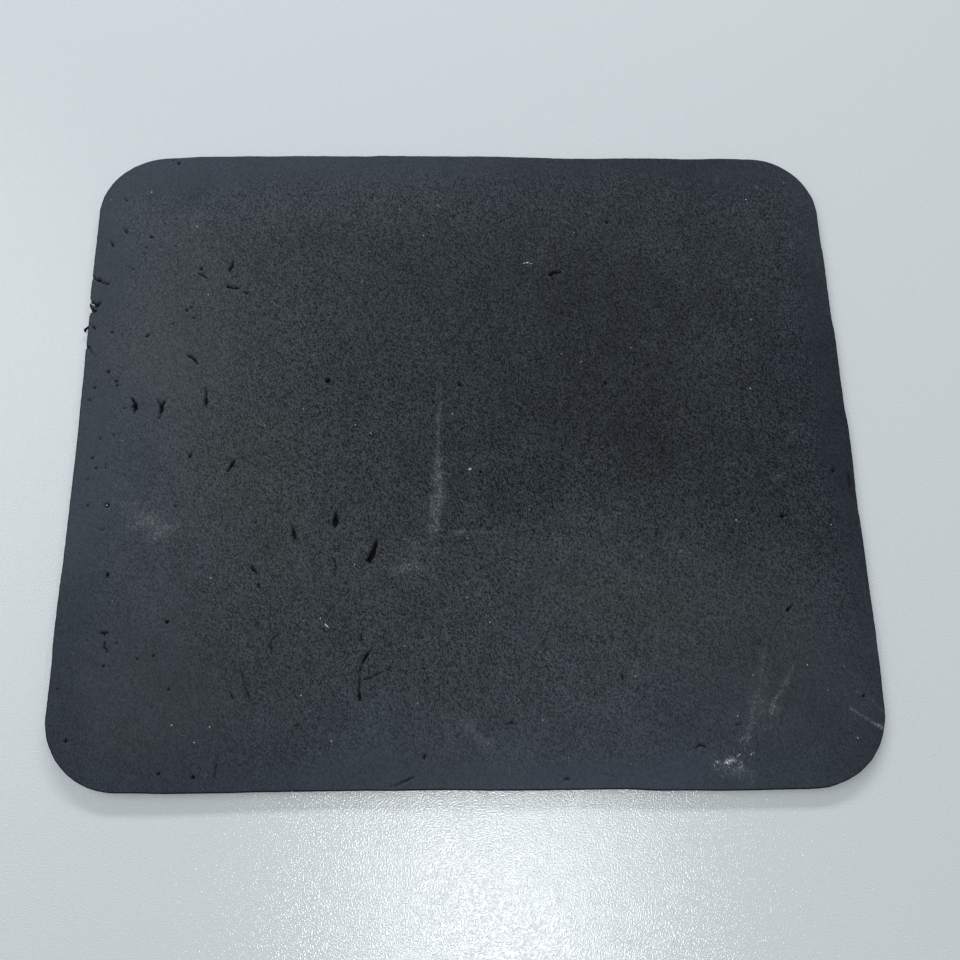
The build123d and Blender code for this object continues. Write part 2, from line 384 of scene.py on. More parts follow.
def crept(x, y):
    """Points moved by the creep of the four sides, which fades to nothing over the outer 30 mm."""
    fade_reach = 30.0
    new_x, new_y = x.copy(), y.copy()
    for side, sign in (("right", 1.0), ("left", -1.0)):
        fade = smooth_step(1.0 - (HALF_LENGTH - sign * x) / fade_reach)
        new_x += sign * side_creep(y, SIDE_CREEP[side]) * fade
    for side, sign in (("back", 1.0), ("front", -1.0)):
        fade = smooth_step(1.0 - (HALF_WIDTH - sign * y) / fade_reach)
        new_y += sign * side_creep(x, SIDE_CREEP[side]) * fade
    return new_x, new_y


def bitten(x, y, share=1.0):
    """x moved in from the left edge at each bite, by a share of its depth.
    The move eases off past the ends of the bite and over 6 mm inwards."""
    fade_reach, end_reach = 6.0, 0.6
    fade = smooth_step(1.0 - (HALF_LENGTH + x) / fade_reach)
    ragged = 0.35 * value_noise(x, y, 0.7, 3)
    for place, half_height, depth in EDGE_BITES:
        reach = half_height * (1.0 + ragged)
        x = x + share * depth * fade * smooth_step((reach - np.abs(y - place)) / end_reach + 0.5)
    return x


def lift(x, y):
    """How far the mat stands off the table, in mm.
    Each corner curls up by its own height, eased off over its own reach by distance from the corner."""
    curls = ((-1.0, -1.0, 0.40, 75.0), (-1.0, 1.0, 0.25, 60.0), (1.0, -1.0, 0.12, 50.0))
    rise = np.zeros(np.shape(x))
    for side_x, side_y, height, reach in curls:
        far = np.hypot(x - side_x * HALF_LENGTH, y - side_y * HALF_WIDTH)
        rise = rise + height * smooth_step(1.0 - far / reach)
    return rise


def window(x, y, points, margin):
    """The part of the grid within margin of a stroke's points, as a pair of slices."""
    places = np.array([p[:2] for p in points])
    low, high = places.min(0) - margin, places.max(0) + margin
    columns = np.nonzero((x >= low[0]).any(0) & (x <= high[0]).any(0))[0]
    rows = np.nonzero((y >= low[1]).any(1) & (y <= high[1]).any(1))[0]
    if len(columns) == 0 or len(rows) == 0:
        return None
    return slice(rows[0], rows[-1] + 1), slice(columns[0], columns[-1] + 1)


def stroke_gap(x, y, points):
    """Distance outside a tapering stroke: to the nearest point of its line, less the half width there."""
    points = np.array(points, float)
    gap = np.full(x.shape, 1e9)
    for start, end in zip(points, points[1:] if len(points) > 1 else points):
        run = end[:2] - start[:2]
        along = ((x - start[0]) * run[0] + (y - start[1]) * run[1]) / max(run @ run, 1e-9)
        along = np.clip(along, 0.0, 1.0)
        far = np.hypot(x - start[0] - along * run[0], y - start[1] - along * run[1])
        gap = np.minimum(gap, far - start[2] - along * (end[2] - start[2]))
    return gap


def paint(x, y, strokes, ragged):
    """The strongest of the strokes at each point; each is full inside and eases off over its softness."""
    total = np.zeros(x.shape)
    for strength, softness, points in strokes:
        part = window(x, y, points, 3.0 * softness + 3.0)
        if part is None:
            continue
        gap = stroke_gap(x[part], y[part], points) + softness * ragged[part]
        total[part] = np.maximum(total[part], strength * smooth_step(0.5 - gap / (2.0 * softness)))
    return total


def tears_and_pits(x, y):
    """On the grid: depth of the torn surface, nearness to a tear and the painted shade inside that tear,
    deeper tears painted blacker.
    Nearness is held from 0 to 1: 0.5 on the outline, growing by 1 for each millimetre inwards."""
    ragged = 0.11 * value_noise(x, y, 0.9, 5) + 0.07 * value_noise(x, y, 0.5, 6)
    depth, near, tear_shade = np.zeros(x.shape), np.zeros(x.shape), np.zeros(x.shape)
    pits = tuple((pit_depth, ((px, py, radius),)) for px, py, radius, pit_depth in PITS)
    wall_width, pit_rag, least_tear_shade = 0.5, 0.3, 0.35
    for deepest, points in TEARS + pits:
        part = window(x, y, points, 3.0)
        if part is None:
            continue
        gap = stroke_gap(x[part], y[part], points) + ragged[part] * (1.0 if len(points) > 1 else pit_rag)
        depth[part] = np.maximum(depth[part], deepest * smooth_step(0.5 - gap / wall_width))
        nearness = np.clip(0.5 - gap, 0.0, 1.0)
        nearer = nearness > near[part]
        near[part] = np.where(nearer, nearness, near[part])
        # Painted shade: the deeper the tear, the blacker it is painted.
        tear_shade[part] = np.where(nearer, min(1.0, least_tear_shade + deepest), tear_shade[part])
    return depth, near, tear_shade


def blots(x, y, spots, base=0.0):
    """A base value plus soft round blots, each falling off as a bell curve, held between 0 and 1."""
    total = np.full(x.shape, base)
    for place_x, place_y, reach_x, reach_y, strength in spots:
        far = ((x - place_x) / reach_x) ** 2 + ((y - place_y) / reach_y) ** 2
        total += strength * np.exp(-far)
    return np.clip(total, 0.0, 1.0)


def around(grid):
    """The values round the rim of a grid, anticlockwise from the front left corner."""
    return np.concatenate([grid[0, :-1], grid[:-1, -1], grid[-1, :0:-1], grid[:0:-1, 0]])


def slab_faces(columns, rows, rings, step):
    """Faces of a closed slab: a grid on top, rings down the wall, and below a grid step times coarser.
    The coarse cells at the rim take in every point of the last ring, so nothing is left open.
    Returns arrays of corners, one for each number of corners a face has."""
    top = np.arange((rows + 1) * (columns + 1)).reshape(rows + 1, columns + 1)
    quads = np.stack([top[:-1, :-1], top[:-1, 1:], top[1:, 1:], top[1:, :-1]], -1).reshape(-1, 4)
    count = 2 * (columns + rows)
    wall = np.vstack([around(top), top.size + np.arange(rings * count).reshape(rings, count)])
    after = np.roll(wall, -1, axis=1)
    walls = np.stack([wall[:-1], wall[1:], after[1:], after[:-1]], -1).reshape(-1, 4)
    ring = wall[-1]
    wide, deep = columns // step, rows // step
    inner = top.size + rings * count + np.arange((deep - 1) * (wide - 1)).reshape(deep - 1, wide - 1)
    floor = np.stack([inner[:-1, :-1], inner[1:, :-1], inner[1:, 1:], inner[:-1, 1:]], -1).reshape(-1, 4)
    inner_rim = (inner[0], inner[:, -1], inner[-1, ::-1], inner[::-1, 0])
    starts = (0, columns, columns + rows, 2 * columns + rows)
    faces = [np.concatenate([quads, walls, floor])]
    sides, corners = [], []
    for start, edge in zip(starts, inner_rim):
        at = start + step * (1 + np.arange(len(edge) - 1))
        outer = ring[(at[:, None] + np.arange(step + 1)) % count]
        sides.append(np.column_stack([edge[:-1], edge[1:], outer[:, ::-1]]))
        outer = ring[(start + np.arange(-step, step + 1)) % count]
        corners.append(np.concatenate([edge[:1], outer[::-1]])[None])
    return faces + [np.concatenate(sides), np.concatenate(corners)]


def tube(points, sides, steps, seed):
    """A closed shred: circles carried along a smooth line through the points, lumpy, and shut at both ends.
    The line is the mean of the listed points weighted by a bell curve.
    Each circle stands square to the line."""
    points = np.array(points, float)
    knots = np.linspace(0.0, 1.0, len(points))
    along = np.linspace(0.0, 1.0, steps)
    weights = np.exp(-(((along[:, None] - knots) * (len(points) - 1) / 0.6) ** 2))
    line = (weights @ points) / weights.sum(1)[:, None]
    ahead = np.gradient(line[:, :3], axis=0)
    ahead /= np.linalg.norm(ahead, axis=1)[:, None]
    side = np.cross(ahead, (0.0, 0.0, 1.0))
    side /= np.linalg.norm(side, axis=1)[:, None]
    up = np.cross(side, ahead)
    angle = np.linspace(0.0, 2.0 * np.pi, sides, endpoint=False)
    lumps = 1.0 + 0.3 * np.random.default_rng(SEED + seed).uniform(-1.0, 1.0, (steps, sides))
    closing = np.sqrt(np.clip(1.0 - (2.0 * along - 1.0) ** 8, 0.0, 1.0))
    radius = line[:, 3][:, None] * lumps * closing[:, None]
    ring = line[:, None, :3] + radius[..., None] * (
        np.cos(angle)[None, :, None] * side[:, None] + np.sin(angle)[None, :, None] * up[:, None]
    )
    ring = ring[1:-1]
    body = np.concatenate([ring.reshape(-1, 3), line[:1, :3], line[-1:, :3]])
    index = np.arange((steps - 2) * sides).reshape(steps - 2, sides)
    after = np.roll(index, -1, axis=1)
    quads = np.stack([index[:-1], after[:-1], after[1:], index[1:]], -1).reshape(-1, 4)
    first, last = index.size, index.size + 1
    head = np.column_stack([np.full(sides, first), after[0], index[0]])
    tail = np.column_stack([np.full(sides, last), index[-1], after[-1]])
    return body, [quads, np.concatenate([head, tail])]


def fleck(place, length, width, turn, seed):
    """A flake with a ragged rim: a closed ellipsoid, its radius varied round the rim, flattened to under half
    its width."""
    around, down, flatness = 14, 6, 0.22
    angle = np.linspace(0.0, 2.0 * np.pi, around, endpoint=False)
    tilt = np.linspace(0.0, np.pi, down + 2)[1:-1]
    rag = 1.0 + 0.28 * np.random.default_rng(SEED + seed).uniform(-1.0, 1.0, around)
    ring = np.sin(tilt)[:, None] * rag[None]
    x = 0.5 * length * ring * np.cos(angle)
    y = 0.5 * width * ring * np.sin(angle)
    z = flatness * width * np.cos(tilt)[:, None] * np.ones(around)
    c, s = math.cos(math.radians(turn)), math.sin(math.radians(turn))
    body = np.stack([c * x - s * y, s * x + c * y, z], -1).reshape(-1, 3)
    poles = np.array([[0.0, 0.0, flatness * width], [0.0, 0.0, -flatness * width]])
    body = np.concatenate([body, poles]) + place
    index = np.arange(down * around).reshape(down, around)
    after = np.roll(index, -1, axis=1)
    quads = np.stack([index[:-1], index[1:], after[1:], after[:-1]], -1).reshape(-1, 4)
    top = np.column_stack([np.full(around, index.size), index[0], after[0]])
    low = np.column_stack([np.full(around, index.size + 1), after[-1], index[-1]])
    return body, [quads, np.concatenate([top, low])]


def joined(parts):
    """Several (points, [face arrays]) as one, each one's corners moved on past the points before it."""
    points, faces, start = [], {}, 0
    for body, arrays in parts:
        points.append(body)
        for array in arrays:
            faces.setdefault(array.shape[1], []).append(array + start)
        start += len(body)
    return np.concatenate(points), [np.concatenate(group) for group in faces.values()]


def make_piece(name, points, faces, materials, attributes=None, slots=None):
    """A mesh object from points in millimetres and face arrays, smooth shaded.
    attributes holds a value for each point; slots, a material number for each face of the first array."""
    mesh = bpy.data.meshes.new(name)
    mesh.vertices.add(len(points))
    mesh.vertices.foreach_set("co", (points * MM).astype(np.float32).ravel())
    corners = np.concatenate([f.ravel() for f in faces]).astype(np.int32)
    sizes = np.concatenate([np.full(len(f), f.shape[1]) for f in faces])
    mesh.loops.add(len(corners))
    mesh.loops.foreach_set("vertex_index", corners)
    mesh.polygons.add(len(sizes))
    mesh.polygons.foreach_set("loop_start", (np.cumsum(sizes) - sizes).astype(np.int32))
    mesh.polygons.foreach_set("use_smooth", np.ones(len(sizes), bool))
    for label, values in (attributes or {}).items():
        layer = mesh.attributes.new(label, "FLOAT", "POINT")
        layer.data.foreach_set("value", values.astype(np.float32).ravel())
    for material in materials:
        mesh.materials.append(material)
    if slots is not None:
        numbers = np.concatenate([slots, np.zeros(len(sizes) - len(slots), slots.dtype)])
        mesh.polygons.foreach_set("material_index", numbers.astype(np.int32))
    mesh.update(calc_edges=True)
    if mesh.validate():
        raise RuntimeError(f"{name}: the mesh had faults")
    piece = bpy.data.objects.new(name, mesh)
    bpy.context.scene.collection.objects.link(piece)
    return piece


# ---------------------------------------------------------------------------------------------------
# Materials


def linear(colour):
    """An sRGB hex colour such as 2b3036 as linear red, green and blue."""
    parts = [int(colour[i : i + 2], 16) / 255.0 for i in (0, 2, 4)]
    return tuple(c / 12.92 if c <= 0.04045 else ((c + 0.055) / 1.055) ** 2.4 for c in parts)


def add_node(tree, kind, inputs=None, **settings):
    """Adds a node, sets its settings, then gives each named input a value or links an output to it."""
    made = tree.nodes.new(kind)
    for name, value in settings.items():
        setattr(made, name, value)
    for key, value in (inputs or {}).items():
        if isinstance(value, bpy.types.NodeSocket):
            tree.links.new(value, made.inputs[key])
        else:
            made.inputs[key].default_value = value
    return made


def new_material(name):
    """An empty node material and its tree."""
    material = bpy.data.materials.new(name)
    material.use_nodes = True
    material.node_tree.nodes.clear()
    return material, material.node_tree


def rgba(colour):
    """A colour property with an opaque fourth channel."""
    return (*colour, 1.0)


def sponge_rubber(looks):
    """Sponge rubber, foamed, skived flat and rubbed by use: a dull blue-black face of fine, crisp cells.
    Grey bloom and a painted sheen lighten it, most of all at the left, where a lamp's broad reflection is
    painted into the colour; the middle is bare and coarse, with less painted sheen.
    Grime browns it softly. Scuffs and chalk catch on the higher cells, and tears break along the cells, their
    insides blackened partly by painted shade."""
    material, tree = new_material("sponge_rubber_skived")
    place = add_node(tree, "ShaderNodeTexCoord").outputs["Object"]
    turned = add_node(
        tree,
        "ShaderNodeMapping",
        {0: place, "Rotation": (0.0, 0.0, looks.grain_turn), "Scale": (1.0, looks.grain_stretch, 1.0)},
        vector_type="TEXTURE",
    ).outputs[0]
    cells = add_node(
        tree, "ShaderNodeTexVoronoi", {0: turned, "Scale": 1.0 / looks.grain_size, "Randomness": 1.0},
        feature="F1"
    ).outputs
    chance = add_node(tree, "ShaderNodeSeparateColor", {0: cells["Color"]}).outputs
    clumps = add_node(
        tree, "ShaderNodeTexNoise",
        {0: turned, "Scale": 0.3 / looks.grain_size, "Detail": 2.0, "Roughness": 0.5}
    ).outputs[0]
    level = add_node(
        tree, "ShaderNodeMath", {0: clumps, 1: looks.clump_share, 2: chance[0]}, operation="MULTIPLY_ADD"
    ).outputs[0]
    level = add_node(
        tree, "ShaderNodeMath", {0: level, 1: 0.5 * (1.0 + looks.clump_share)}, operation="SUBTRACT"
    ).outputs[0]

    names = ("tear", "tear_shade", "scuff", "chalk", "grime", "border", "bloom_and_sheen", "skin")
    wear = {n: add_node(tree, "ShaderNodeAttribute", attribute_name=n).outputs["Fac"] for n in names}
    # The grain shows less under the bloom and painted sheen, and where the skin is whole.
    contrast = add_node(
        tree,
        "ShaderNodeMapRange",
        {
            0: wear["skin"], 1: 0.0, 2: 1.0, 3: looks.grain_contrast,
            4: looks.grain_contrast * looks.skin_grain
        },
        clamp=True,
    ).outputs[0]
    filled = add_node(
        tree, "ShaderNodeMapRange", {0: wear["bloom_and_sheen"], 1: 0.2, 2: 0.9, 3: 1.0, 4: 0.42}, clamp=True
    ).outputs[0]
    contrast = add_node(tree, "ShaderNodeMath", {0: contrast, 1: filled}, operation="MULTIPLY").outputs[0]
    shown = add_node(
        tree, "ShaderNodeMath", {0: level, 1: contrast, 2: 1.0}, operation="MULTIPLY_ADD"
    ).outputs[0]
    shown = add_node(tree, "ShaderNodeMath", {0: shown, 1: 0.08}, operation="MAXIMUM").outputs[0]

    # Bloom with painted sheen, unevenly thick, over bare rubber: the higher the attribute, the lighter the
    # colour, partly standing in for a lamp's sheen; then the tints of grime and of the border.
    blotches = add_node(
        tree, "ShaderNodeTexNoise", {0: place, "Scale": 1.0 / 0.011, "Detail": 4.0, "Roughness": 0.6}
    ).outputs[0]
    mottle = add_node(
        tree, "ShaderNodeMapRange", {0: blotches, 1: 0.3, 2: 0.7, 3: -0.5, 4: 0.5}, clamp=True
    ).outputs[0]
    bloom_and_sheen = add_node(
        tree, "ShaderNodeMath", {0: mottle, 1: looks.mottle, 2: wear["bloom_and_sheen"]}, operation="MULTIPLY_ADD",
        use_clamp=True
    ).outputs[0]
    colour = add_node(
        tree,
        "ShaderNodeMix",
        {0: bloom_and_sheen, 6: rgba(looks.bare_colour), 7: rgba(looks.bloom_and_sheen_colour)},
        data_type="RGBA",
    ).outputs[2]
    for share, tint in ((wear["grime"], looks.grime_colour), (wear["border"], looks.border_colour)):
        colour = add_node(
            tree, "ShaderNodeMix", {0: share, 6: colour, 7: rgba(tint)}, data_type="RGBA",
            blend_type="MULTIPLY"
        ).outputs[2]
    colour = add_node(tree, "ShaderNodeVectorMath", {0: colour, "Scale": shown}, operation="SCALE").outputs[0]

    # What lies on top: a scuff greys all cells a little and the highest fully; chalk keeps to a few, and a
    # rare single cell is painted pale as a glint.
    catch = add_node(tree, "ShaderNodeMath", {0: wear["scuff"], 1: chance[0]}, operation="ADD").outputs[0]
    catch = add_node(tree, "ShaderNodeMath", {0: catch, 1: 1.5, 2: -1.5}, operation="MULTIPLY_ADD").outputs[0]
    catch = add_node(tree, "ShaderNodeMath", {0: catch, 1: 0.0}, operation="MAXIMUM").outputs[0]
    rubbed = add_node(
        tree, "ShaderNodeMath", {0: wear["scuff"], 1: 0.35, 2: catch}, operation="MULTIPLY_ADD",
        use_clamp=True
    ).outputs[0]
    ground_in = add_node(tree, "ShaderNodeMath", {0: wear["chalk"], 1: chance[1]}, operation="ADD").outputs[0]
    chalked = add_node(
        tree, "ShaderNodeMapRange", {0: ground_in, 1: 1.0, 2: 1.55, 3: 0.0, 4: 1.0}, clamp=True
    ).outputs[0]
    # Painted glints: a rare cell turns half way to the chalk colour, standing in for a glint of light.
    painted_glints = add_node(
        tree, "ShaderNodeMapRange", {0: chance[2], 1: 1.0 - looks.glint_share, 2: 1.0, 3: 0.0, 4: 0.5},
        clamp=True
    ).outputs[0]
    # A tear's outline moves out or in by up to an eighth of a millimetre from cell to cell.
    outline = add_node(
        tree, "ShaderNodeMath", {0: chance[1], 1: 0.25, 2: wear["tear"]}, operation="MULTIPLY_ADD"
    ).outputs[0]
    outline = add_node(
        tree, "ShaderNodeMapRange", {0: outline, 1: 0.55, 2: 0.66, 3: 0.0, 4: 1.0}, clamp=True
    ).outputs[0]
    # Inside a tear the colour goes to near black: the inner rubber's own dark colour and painted shade,
    # blacker in deeper tears.
    tear_shade_mix = add_node(tree, "ShaderNodeMath", {0: outline, 1: wear["tear_shade"]}, operation="MULTIPLY").outputs[0]
    layers = (
        (rubbed, looks.scuff_colour),
        (painted_glints, looks.chalk_colour),
        (chalked, looks.chalk_colour),
        (tear_shade_mix, looks.dark_rubber_and_tear_shade_colour),
    )
    for share, paint_colour in layers:
        colour = add_node(
            tree, "ShaderNodeMix", {0: share, 6: colour, 7: rgba(paint_colour)}, data_type="RGBA"
        ).outputs[2]

    relief = add_node(
        tree, "ShaderNodeMath", {0: cells["Distance"], 1: -looks.grain_height}, operation="MULTIPLY"
    ).outputs[0]
    bump = add_node(tree, "ShaderNodeBump", {"Strength": 0.6, "Distance": 1.0, "Height": relief}).outputs[0]
    rough = add_node(
        tree, "ShaderNodeMapRange", {0: chance[0], 1: 0.0, 2: 1.0, 3: 0.74, 4: 0.60}, clamp=True
    ).outputs[0]
    shader = add_node(
        tree,
        "ShaderNodeBsdfPrincipled",
        {"Base Color": colour, "Roughness": rough, "Normal": bump, "IOR": 1.5, "Specular IOR Level": 0.15},
    ).outputs[0]
    add_node(tree, "ShaderNodeOutputMaterial", {0: shader})
    return material


def opened_rubber(name, low_colour, high_colour):
    """The inside of the sponge, bared by tearing or by the knife: open cells of two dark tones, no gleam."""
    material, tree = new_material(name)
    place = add_node(tree, "ShaderNodeTexCoord").outputs["Object"]
    cells = add_node(
        tree, "ShaderNodeTexVoronoi", {0: place, "Scale": 1.0 / 0.00045, "Randomness": 1.0}, feature="F1"
    ).outputs["Distance"]
    colour = add_node(
        tree, "ShaderNodeMix", {0: cells, 6: rgba(low_colour), 7: rgba(high_colour)}, data_type="RGBA"
    ).outputs[2]
    bump = add_node(tree, "ShaderNodeBump", {"Strength": 0.8, "Distance": 0.0002, "Height": cells}).outputs[0]
    shader = add_node(
        tree,
        "ShaderNodeBsdfPrincipled",
        {"Base Color": colour, "Roughness": 1.0, "Normal": bump, "IOR": 1.5, "Specular IOR Level": 0.1},
    ).outputs[0]
    add_node(tree, "ShaderNodeOutputMaterial", {0: shader})
    return material


def laminating_film(looks):
    """Hot-melt film, pressed between rubber and cloth: a thin dark line with a slight waxy gleam."""
    material, tree = new_material("hot_melt_film_pressed")
    place = add_node(tree, "ShaderNodeTexCoord").outputs["Object"]
    ripple = add_node(
        tree, "ShaderNodeTexNoise", {0: place, "Scale": 1.0 / 0.0015, "Detail": 3.0, "Roughness": 0.5}
    ).outputs[0]
    colour = add_node(
        tree,
        "ShaderNodeMix",
        {0: ripple, 6: rgba(looks.film_colour), 7: rgba(tuple(1.8 * c for c in looks.film_colour))},
        data_type="RGBA",
    ).outputs[2]
    rough = add_node(tree, "ShaderNodeMapRange", {0: ripple, 1: 0.3, 2: 0.7, 3: 0.38, 4: 0.55}).outputs[0]
    bump = add_node(
        tree, "ShaderNodeBump", {"Strength": 0.4, "Distance": 0.0001, "Height": ripple}
    ).outputs[0]
    shader = add_node(
        tree, "ShaderNodeBsdfPrincipled",
        {"Base Color": colour, "Roughness": rough, "Normal": bump, "IOR": 1.48}
    ).outputs[0]
    add_node(tree, "ShaderNodeOutputMaterial", {0: shader})
    return material


def jersey_knit(looks):
    """Polyester jersey, knitted and dyed: rows of small V stitches with a faint sheen.
    The stitches are 0.8 mm wide, about twice the real 0.4 mm, so that they show at arm's length."""
    material, tree = new_material("polyester_jersey_dyed")
    place = add_node(tree, "ShaderNodeTexCoord").outputs["Object"]
    wale, course = 0.0008, 0.0007
    parts = add_node(tree, "ShaderNodeSeparateXYZ", {0: place}).outputs
    across = add_node(tree, "ShaderNodeMath", {0: parts[0], 1: 1.0 / wale}, operation="MULTIPLY").outputs[0]
    slant = add_node(tree, "ShaderNodeMath", {0: across, 1: 0.5}, operation="PINGPONG").outputs[0]
    along = add_node(
        tree, "ShaderNodeMath", {0: parts[1], 1: 1.0 / course, 2: slant}, operation="MULTIPLY_ADD"
    ).outputs[0]
    yarn = add_node(tree, "ShaderNodeMath", {0: along, 1: 0.5}, operation="PINGPONG").outputs[0]
    gutter = add_node(
        tree, "ShaderNodeMapRange", {0: slant, 1: 0.0, 2: 0.12, 3: 0.35, 4: 1.0}, clamp=True
    ).outputs[0]
    height = add_node(tree, "ShaderNodeMath", {0: yarn, 1: gutter}, operation="MULTIPLY").outputs[0]
    fuzz = add_node(
        tree, "ShaderNodeTexNoise", {0: place, "Scale": 1.0 / 0.0006, "Detail": 3.0, "Roughness": 0.6}
    ).outputs[0]
    dye = add_node(
        tree, "ShaderNodeTexNoise", {0: place, "Scale": 1.0 / 0.03, "Detail": 3.0, "Roughness": 0.6}
    ).outputs[0]
    shade = add_node(
        tree, "ShaderNodeMapRange", {0: height, 1: 0.0, 2: 0.5, 3: 0.0, 4: 1.0}, clamp=True
    ).outputs[0]
    colour = add_node(
        tree,
        "ShaderNodeMix",
        {0: shade, 6: rgba(looks.gap_colour), 7: rgba(looks.yarn_colour)},
        data_type="RGBA",
    ).outputs[2]
    aged = add_node(
        tree, "ShaderNodeMapRange", {0: dye, 1: 0.3, 2: 0.7, 3: 0.0, 4: 0.5}, clamp=True
    ).outputs[0]
    colour = add_node(
        tree, "ShaderNodeMix", {0: aged, 6: colour, 7: rgba(looks.worn_colour)}, data_type="RGBA"
    ).outputs[2]
    relief = add_node(
        tree, "ShaderNodeMath", {0: fuzz, 1: 0.35, 2: height}, operation="MULTIPLY_ADD"
    ).outputs[0]
    bump = add_node(
        tree, "ShaderNodeBump", {"Strength": 0.7, "Distance": 0.0002, "Height": relief}
    ).outputs[0]
    rough = add_node(tree, "ShaderNodeMapRange", {0: fuzz, 1: 0.3, 2: 0.7, 3: 0.68, 4: 0.85}).outputs[0]
    shader = add_node(
        tree,
        "ShaderNodeBsdfPrincipled",
        {
            "Base Color": colour,
            "Roughness": rough,
            "Normal": bump,
            "IOR": 1.5,
            "Sheen Weight": 0.25,
            "Sheen Roughness": 0.5,
        },
    ).outputs[0]
    add_node(tree, "ShaderNodeOutputMaterial", {0: shader})
    return material


def lint_and_chalk(looks):
    """Lint and chalk crumbs, pressed flat by use: matt off-white, mixed with grey."""
    material, tree = new_material("lint_and_chalk_crumbs")
    place = add_node(tree, "ShaderNodeTexCoord").outputs["Object"]
    grain = add_node(
        tree, "ShaderNodeTexNoise", {0: place, "Scale": 1.0 / 0.0003, "Detail": 2.0, "Roughness": 0.6}
    ).outputs[0]
    colour = add_node(
        tree, "ShaderNodeMix", {0: grain, 6: rgba(looks.scuff_colour), 7: rgba(looks.chalk_colour)},
        data_type="RGBA"
    ).outputs[2]
    bump = add_node(tree, "ShaderNodeBump", {"Strength": 0.5, "Distance": 0.0001, "Height": grain}).outputs[0]
    shader = add_node(
        tree, "ShaderNodeBsdfPrincipled",
        {"Base Color": colour, "Roughness": 0.85, "Normal": bump, "IOR": 1.5}
    ).outputs[0]
    add_node(tree, "ShaderNodeOutputMaterial", {0: shader})
    return material


def table_laminate(looks):
    """Table laminate, pressed with a fine pearl grain: pale blue grey, even in soft light.
    Its small facets tip a few degrees each way, so a lamp's reflection breaks into a wide field of
    glitter."""
    material, tree = new_material("table_laminate_pearl_grain")
    place = add_node(tree, "ShaderNodeTexCoord").outputs["Object"]
    grain = add_node(
        tree, "ShaderNodeTexNoise", {0: place, "Scale": 1.0 / 0.00036, "Detail": 0.0, "Roughness": 0.5}
    ).outputs[0]
    colour = add_node(
        tree,
        "ShaderNodeMix",
        {0: grain, 6: rgba(looks.table_colour), 7: rgba(looks.table_fleck)},
        data_type="RGBA",
    ).outputs[2]
    bump = add_node(
        tree, "ShaderNodeBump", {"Strength": 1.0, "Distance": 0.00005, "Height": grain}
    ).outputs[0]
    shader = add_node(
        tree,
        "ShaderNodeBsdfPrincipled",
        {"Base Color": colour, "Roughness": 0.15, "Normal": bump, "IOR": 1.5, "Specular IOR Level": 0.5},
    ).outputs[0]
    add_node(tree, "ShaderNodeOutputMaterial", {0: shader})
    return material


# ---------------------------------------------------------------------------------------------------
# Settings that a user would change


def colour_property(label, text, colour):
    """A colour setting whose default is an sRGB hex colour."""
    return FloatVectorProperty(
        name=label, description=text, default=linear(colour), subtype="COLOR", min=0, max=1
    )


def length_property(label, text, millimetres, longest):
    """A length setting in metres whose default is given in millimetres."""
    return FloatProperty(
        name=label, description=text, default=millimetres * MM, min=0.0, max=longest * MM, unit="LENGTH",
        precision=5
    )


class MatShape(bpy.types.PropertyGroup):
    """Shape shared by the three layers."""

    corner_radius: length_property("Corner radius", "Radius of the four rounded corners", 19.0, 80.0)
    rim_radius: length_property("Rim radius", "Rounding of the rubber's upper rim", 0.3, 1.0)
    film_setback: length_property("Film set-back", "How far the film stops short of the edge", 0.25, 2.0)
    cut_roughness: length_property("Cut roughness", "How ragged the cut edge of the rubber is", 0.05, 0.5)
    lump_height: length_property("Lump height", "Height of the soft lumps in the rubber's face", 0.035, 0.3)
    foam_columns: IntProperty(
        name="Columns", description="Cells of the rubber's face along its length, in eights", default=600,
        min=48, step=8
    )
    foam_rows: IntProperty(
        name="Rows", description="Cells of the rubber's face along its width, in eights", default=512,
        min=48, step=8
    )
    cloth_columns: IntProperty(
        name="Cloth columns", description="Cells of cloth and film along the length", default=140, min=20
    )
    cloth_rows: IntProperty(
        name="Cloth rows", description="Cells of cloth and film along the width", default=120, min=20
    )


